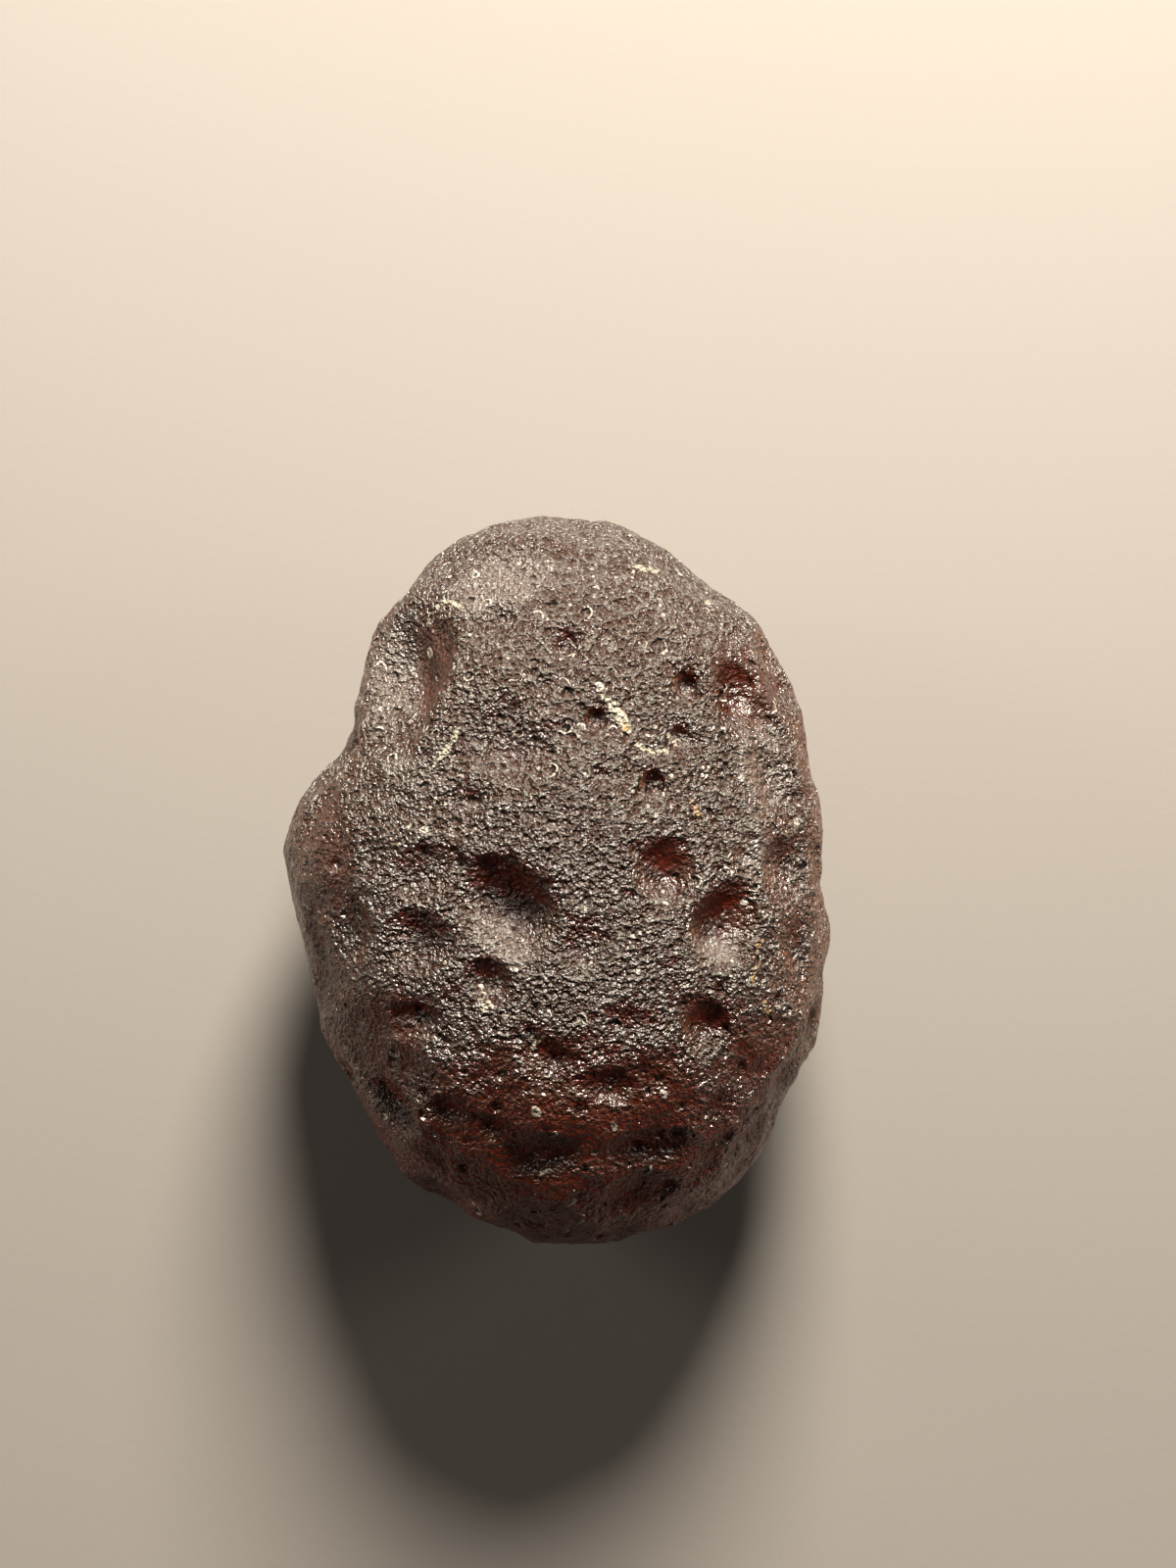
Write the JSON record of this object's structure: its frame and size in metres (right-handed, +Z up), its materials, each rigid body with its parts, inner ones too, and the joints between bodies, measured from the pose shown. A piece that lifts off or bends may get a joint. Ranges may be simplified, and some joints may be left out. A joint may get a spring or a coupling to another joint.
{
  "type": "tektite",
  "caption": "Egg-shaped lump of smoky brown natural glass with a pitted, etched skin, lying on a small flat spot.",
  "frame": {"origin": "on the surface it rests on, under the middle of the stone's outline", "axes": "+Z up out of the surface it rests on, +Y along the stone's length towards its narrower, blunter end, +X across it"},
  "size_m": [0.0252, 0.0336, 0.018],
  "materials": {
    "smoky_glass": "etched and frosted, glossier in the hollows, dark smoky brown"
  },
  "bodies": {
    "root": {"tektite": "smoky_glass"}
  },
  "joints": []
}
